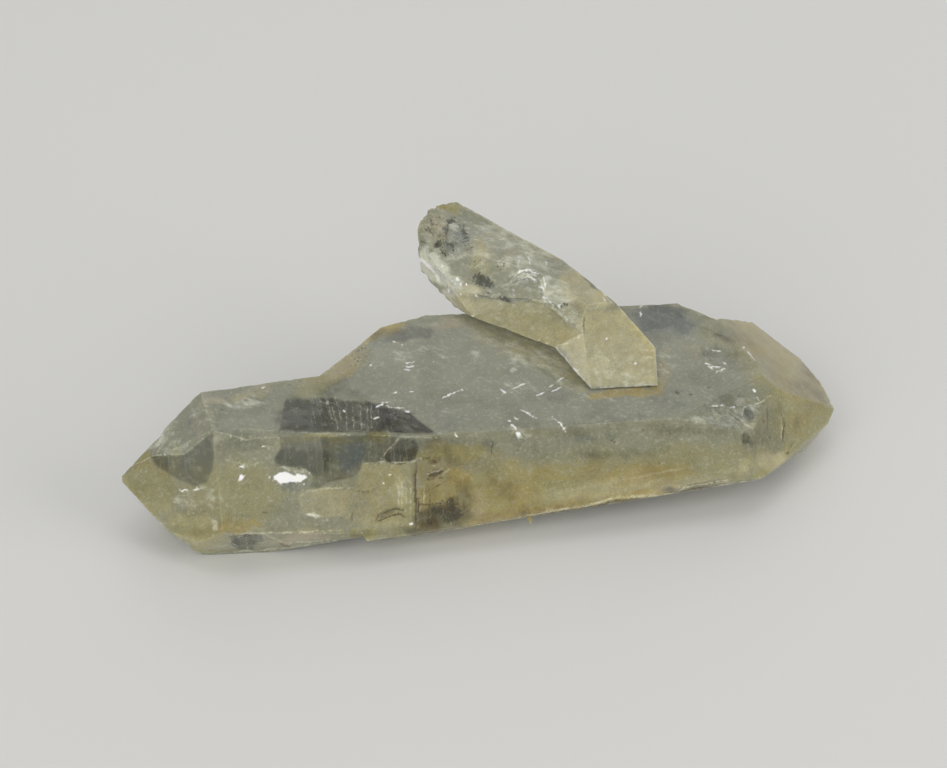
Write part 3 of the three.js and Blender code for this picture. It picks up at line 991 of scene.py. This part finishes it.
def window_fields(look):
    """How far each point is inside a window, as a share of the softness of its
    edge, and how clear it is there."""
    within = np.full(len(look["at"]), -WINDOW_SPAN)
    clearest = np.full(len(look["at"]), FAR_CLEARNESS)
    for windows, crystal in ((LONG_WINDOWS, 0), (SMALL_WINDOWS, 1)):
        for strength, soft, corners in windows:
            here = inside(look["warped"], corners) / soft
            here = np.where(look["small"] == crystal, here, -99)
            clearest += (strength - clearest) * smooth(here - within, -WINDOW_SPAN, WINDOW_SPAN)
            within = np.maximum(within, here)
    within = np.where(look["facing"] > 0.5, within, far_windows(look))
    return np.clip(within, -WINDOW_SPAN, WINDOW_SPAN), clearest


def build_quartz():
    shape = merged_copy("quartz")
    for axis, squarest in STRIPS:
        cut_across(shape, axis, squarest)
    bmesh.ops.triangulate(shape, faces=shape.faces)
    drop_slivers(shape)
    along = mark_edges(shape)
    refine_lines(shape)
    drop_slivers(shape)
    look = look_over(shape, along)
    moved = look["points"] + look["normals"] * relief(look)[:, None]
    for vert, place in zip(shape.verts, moved):
        vert.co = place
    for edge in shape.edges:
        edge.smooth = edge.smooth and edge.calc_face_angle(0) < SHADE_ANGLE
    mesh = bpy.data.meshes.new("quartz_crystals")
    shape.to_mesh(mesh)
    shape.free()
    mesh.polygons.foreach_set("use_smooth", [True] * len(mesh.polygons))
    within, clearest = window_fields(look)
    fields = {"window": within, "clearest": clearest, **tint_fields(look)}
    for name in ("edge", "glint", "pale_line", "dark_line"):
        fields[name] = look[name]
    for name, values in fields.items():
        field = mesh.attributes.new(name, "FLOAT", "POINT")
        field.data.foreach_set("value", np.asarray(values, np.float32))
    piece = bpy.data.objects.new("quartz_crystals", mesh)
    bpy.context.scene.collection.objects.link(piece)
    mesh.materials.append(quartz_finish())
    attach(piece, "root")
    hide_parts("quartz")


# The finishes

class Value:
    """A socket of a finish, with sums that add Math nodes."""

    def __init__(self, finish, socket):
        self.finish = finish
        self.socket = socket

    def __add__(self, other):
        return self.finish.maths("ADD", self, other)

    def __sub__(self, other):
        return self.finish.maths("SUBTRACT", self, other)

    def __rsub__(self, other):
        return self.finish.maths("SUBTRACT", other, self)

    def __mul__(self, other):
        return self.finish.maths("MULTIPLY", self, other)

    __radd__ = __add__
    __rmul__ = __mul__


class Finish:
    """A material that is written as sums of its nodes' values."""

    def __init__(self, name):
        self.material = bpy.data.materials.new(name)
        self.material.use_nodes = True
        self.tree = self.material.node_tree
        self.tree.nodes.clear()

    def node(self, kind, settings=None, inputs=None, output=0):
        made = self.tree.nodes.new(kind)
        for key, value in (settings or {}).items():
            setattr(made, key, value)
        for key, value in (inputs or {}).items():
            if isinstance(value, Value):
                self.tree.links.new(value.socket, made.inputs[key])
            else:
                made.inputs[key].default_value = value
        return Value(self, made.outputs[output]) if made.outputs else None

    def maths(self, operation, *values):
        return self.node("ShaderNodeMath", {"operation": operation}, dict(enumerate(values)))

    def field(self, name):
        settings = {"attribute_name": name, "attribute_type": "GEOMETRY"}
        return self.node("ShaderNodeAttribute", settings, output="Fac")

    def ease(self, value, low, high):
        """0 below low, 1 above high and smooth between."""
        return self.node(
            "ShaderNodeMapRange",
            {"interpolation_type": "SMOOTHSTEP"},
            {"Value": value, "From Min": low, "From Max": high, "To Min": 0.0, "To Max": 1.0},
        )

    def mix(self, share, first, second):
        """Two colours mixed."""
        inputs = {0: share, 6: self.rgba(first), 7: self.rgba(second)}
        return self.node("ShaderNodeMix", {"data_type": "RGBA"}, inputs, output=2)

    @staticmethod
    def rgba(colour):
        return colour if isinstance(colour, Value) else (*colour, 1)

    def noise(self, where, size, detail, rough):
        """Noise of 0 to 1 with grains of that size in millimetres."""
        inputs = {"Vector": where, "Scale": 1 / size, "Detail": detail, "Roughness": rough}
        return self.node("ShaderNodeTexNoise", {}, inputs, output="Fac")

    def scaled(self, where, by):
        return self.node("ShaderNodeVectorMath", {"operation": "MULTIPLY"}, {0: where, 1: by})


def quartz_noises(finish):
    """The noises that break up what is drawn on the mesh, each 0 to 1."""
    place = finish.scaled(finish.node("ShaderNodeTexCoord", output="Object"), (1 / MM,) * 3)
    noises = {name: finish.noise(place, *kind) for name, kind in NOISES.items()}
    turned = finish.node("ShaderNodeMapping", {}, {"Vector": place, "Rotation": WISPS_TURN})
    noises["wisps"] = finish.noise(finish.scaled(turned, WISPS_STRETCH), *WISPS)
    noises["striae"] = finish.noise(finish.scaled(place, STRIAE_STRETCH), *STRIAE)
    return noises


def quartz_marks(finish, noises):
    """How strongly each mark of the quartz shows, 0 to 1."""
    field, ease = finish.field, finish.ease
    mottle, fine, fleck = noises["mottle"], noises["fine"], noises["fleck"]
    tone = (noises["cloud"] - 0.5) + (mottle - 0.5) * 0.8
    marks = {
        "olive": ease(field("olive") + tone * 0.5, 0, 1),
        "blue": ease(field("blue") + tone, 0.1, 1),
        "veil_and_painted_light": ease(field("veil_and_painted_light") * 0.8 + (noises["wisps"] - 0.5) * 1.2, 0.15, 0.8),
        "deep_and_shade": ease(field("deep_and_shade") + tone * 0.6, 0.1, 0.9),
        "wisps": ease(noises["wisps"], 0.52, 0.8),
        "fine": ease(fine, 0.5, 0.75),
        "grit": ease(noises["grit"], 0.5, 0.75),
        "worn": 1 - ease(field("edge") + (mottle - 0.5) * 0.4, 0.0, 0.2),
        "brown": ease(field("brown") + (fine - 0.5) * 1.2 + tone * 0.5, 0.2, 1.0),
        "speck": ease(field("speck") * 0.3 + fleck * 0.55 + mottle * 0.45, 0.68, 0.8),
        "crack": field("dark_line") * ease(mottle, 0.2, 0.5),
        "pale": field("pale_line") * ease(mottle, 0.3, 0.6),
        "glint": field("glint"),
    }
    for name in ("ochre", "peach", "cream"):
        marks[name] = ease(field(name) + tone, 0.1, 1.1)
    # Sparkle: tiny flecks of painted highlight, more of them in the veils
    flecked = ease(fleck, 0.7, 0.78) * ease(mottle, 0.45, 0.6)
    marks["sparkle"] = flecked * (0.35 + marks["veil_and_painted_light"] * 0.5)
    marks["rubbed"] = marks["worn"] * ease(mottle, 0.45, 0.7)
    return marks


def linear(colour):
    """A colour of 0 to 255 as the light that it stands for."""
    shares = [c / 255 for c in colour]
    return tuple(min(MOST_LIGHT, LIFT * ((s + 0.055) / 1.055) ** 2.4) for s in shares)


def quartz_colour(finish, marks):
    colour = linear(GREY)
    for mark, cover, coat in COATS:
        colour = finish.mix(marks[mark] * cover, colour, linear(coat))
    return colour


def quartz_clearness(finish, noises, marks, inside_window):
    """How far the quartz is clear rather than milky, 0 to 1."""
    cloudy = finish.ease(noises["striae"], 0.5, 0.75) * 0.2
    cloudy = cloudy + finish.ease(noises["mottle"], 0.45, 0.8) * 0.15
    cloudy = cloudy + finish.ease(noises["wisps"], 0.45, 0.8) * 0.25
    haze = 0.22 + marks["deep_and_shade"] * 0.3 + finish.ease(noises["cloud"], 0.4, 0.75) * 0.2
    clearness = inside_window * finish.field("clearest") * (1 - cloudy)
    clearness = clearness + (1 - inside_window) * haze * (1 - marks["veil_and_painted_light"] * 0.6)
    for mark, share in CLOUDED_BY.items():
        clearness = clearness * (1 - marks[mark] * share)
    return clearness


def quartz_finish():
    finish = Finish("quartz")
    noises = quartz_noises(finish)
    marks = quartz_marks(finish, noises)
    height = noises["striae"] * 0.25 + noises["fine"] * 0.4 + noises["mottle"] * 0.6
    inputs = {"Strength": 0.25, "Distance": 0.06 * MM, "Height": height}
    bump = finish.node("ShaderNodeBump", {}, inputs, "Normal")
    milky = finish.node("ShaderNodeBsdfPrincipled", {}, {
        "Base Color": quartz_colour(finish, marks),
        "Roughness": 0.1 + finish.ease(noises["mottle"], 0.4, 0.8) * 0.15 + marks["worn"] * 0.1,
        "IOR": QUARTZ_IOR,
        "Subsurface Weight": 0.9,
        "Subsurface Radius": (1.0, 0.9, 0.6),
        "Subsurface Scale": 1.6 * MM,
        "Normal": bump,
    })
    inside_window = finish.ease(finish.field("window") + (noises["fine"] - 0.5) * 1.2, -1, 1)
    clear = finish.mix(inside_window, HAZY_CLEAR, WINDOW_CLEAR)
    glass = finish.node("ShaderNodeBsdfPrincipled", {}, {
        "Base Color": finish.mix(marks["deep_and_shade"] * 0.7, clear, DEEP_CLEAR),
        "Roughness": 0.03,
        "IOR": QUARTZ_IOR,
        "Transmission Weight": 1.0,
        "Normal": bump,
    })
    clearness = quartz_clearness(finish, noises, marks, inside_window)
    surface = finish.node("ShaderNodeMixShader", {}, {0: clearness, 1: milky, 2: glass})
    inner = finish.node("ShaderNodeVolumeAbsorption", {}, {
        "Color": INNER_COLOUR,
        "Density": INNER_DENSITY,
    })
    finish.node("ShaderNodeOutputMaterial", {}, {"Surface": surface, "Volume": inner})
    return finish.material


def floor_finish():
    finish = Finish("floor")
    place = finish.node("ShaderNodeTexCoord", output="Object")
    soft = finish.node("ShaderNodeTexNoise", {}, {"Vector": place, "Scale": 9.0}, "Fac")
    tinted = finish.mix(soft * 0.06, FLOOR_PALE, FLOOR_DARK)
    board = finish.node("ShaderNodeBsdfPrincipled", {}, {"Base Color": tinted, "Roughness": 0.55})
    finish.node("ShaderNodeOutputMaterial", {}, {"Surface": board})
    return finish.material


# The studio

def build_floor():
    shape = bmesh.new()
    bmesh.ops.create_grid(shape, x_segments=1, y_segments=1, size=FLOOR_REACH)
    mesh = bpy.data.meshes.new("floor")
    shape.to_mesh(mesh)
    shape.free()
    floor = bpy.data.objects.new("floor", mesh)
    bpy.context.scene.collection.objects.link(floor)
    mesh.materials.append(floor_finish())


def build_camera():
    lens = bpy.data.cameras.new("camera")
    lens.sensor_width = SENSOR
    lens.lens = SENSOR * PIXELS_PER_MM / MM * CAMERA_REACH / PHOTO_WIDE
    lens.clip_start = NEAREST_SEEN
    camera = bpy.data.objects.new("camera", lens)
    bpy.context.scene.collection.objects.link(camera)
    camera.location = camera_place()
    camera.rotation_euler = (-view_back()).to_track_quat("-Z", "Y").to_euler()
    bpy.context.scene.camera = camera


def build_lights():
    world = bpy.data.worlds.new("studio")
    world.use_nodes = True
    world.node_tree.nodes["Background"].inputs["Color"].default_value = STUDIO_COLOUR
    world.node_tree.nodes["Background"].inputs["Strength"].default_value = STUDIO_STRENGTH
    bpy.context.scene.world = world
    for name, (place, size, watts, colour) in LAMPS.items():
        lamp = bpy.data.lights.new(name, "AREA")
        lamp.shape = "DISK"
        lamp.size = size
        lamp.energy = watts
        lamp.color = colour
        light = bpy.data.objects.new(name, lamp)
        bpy.context.scene.collection.objects.link(light)
        light.location = place
        light.rotation_euler = (LOOK_AT - Vector(place)).to_track_quat("-Z", "Y").to_euler()


build_camera()
build_lights()
build_floor()
build_quartz()
bpy.context.scene.view_settings.view_transform = "Standard"
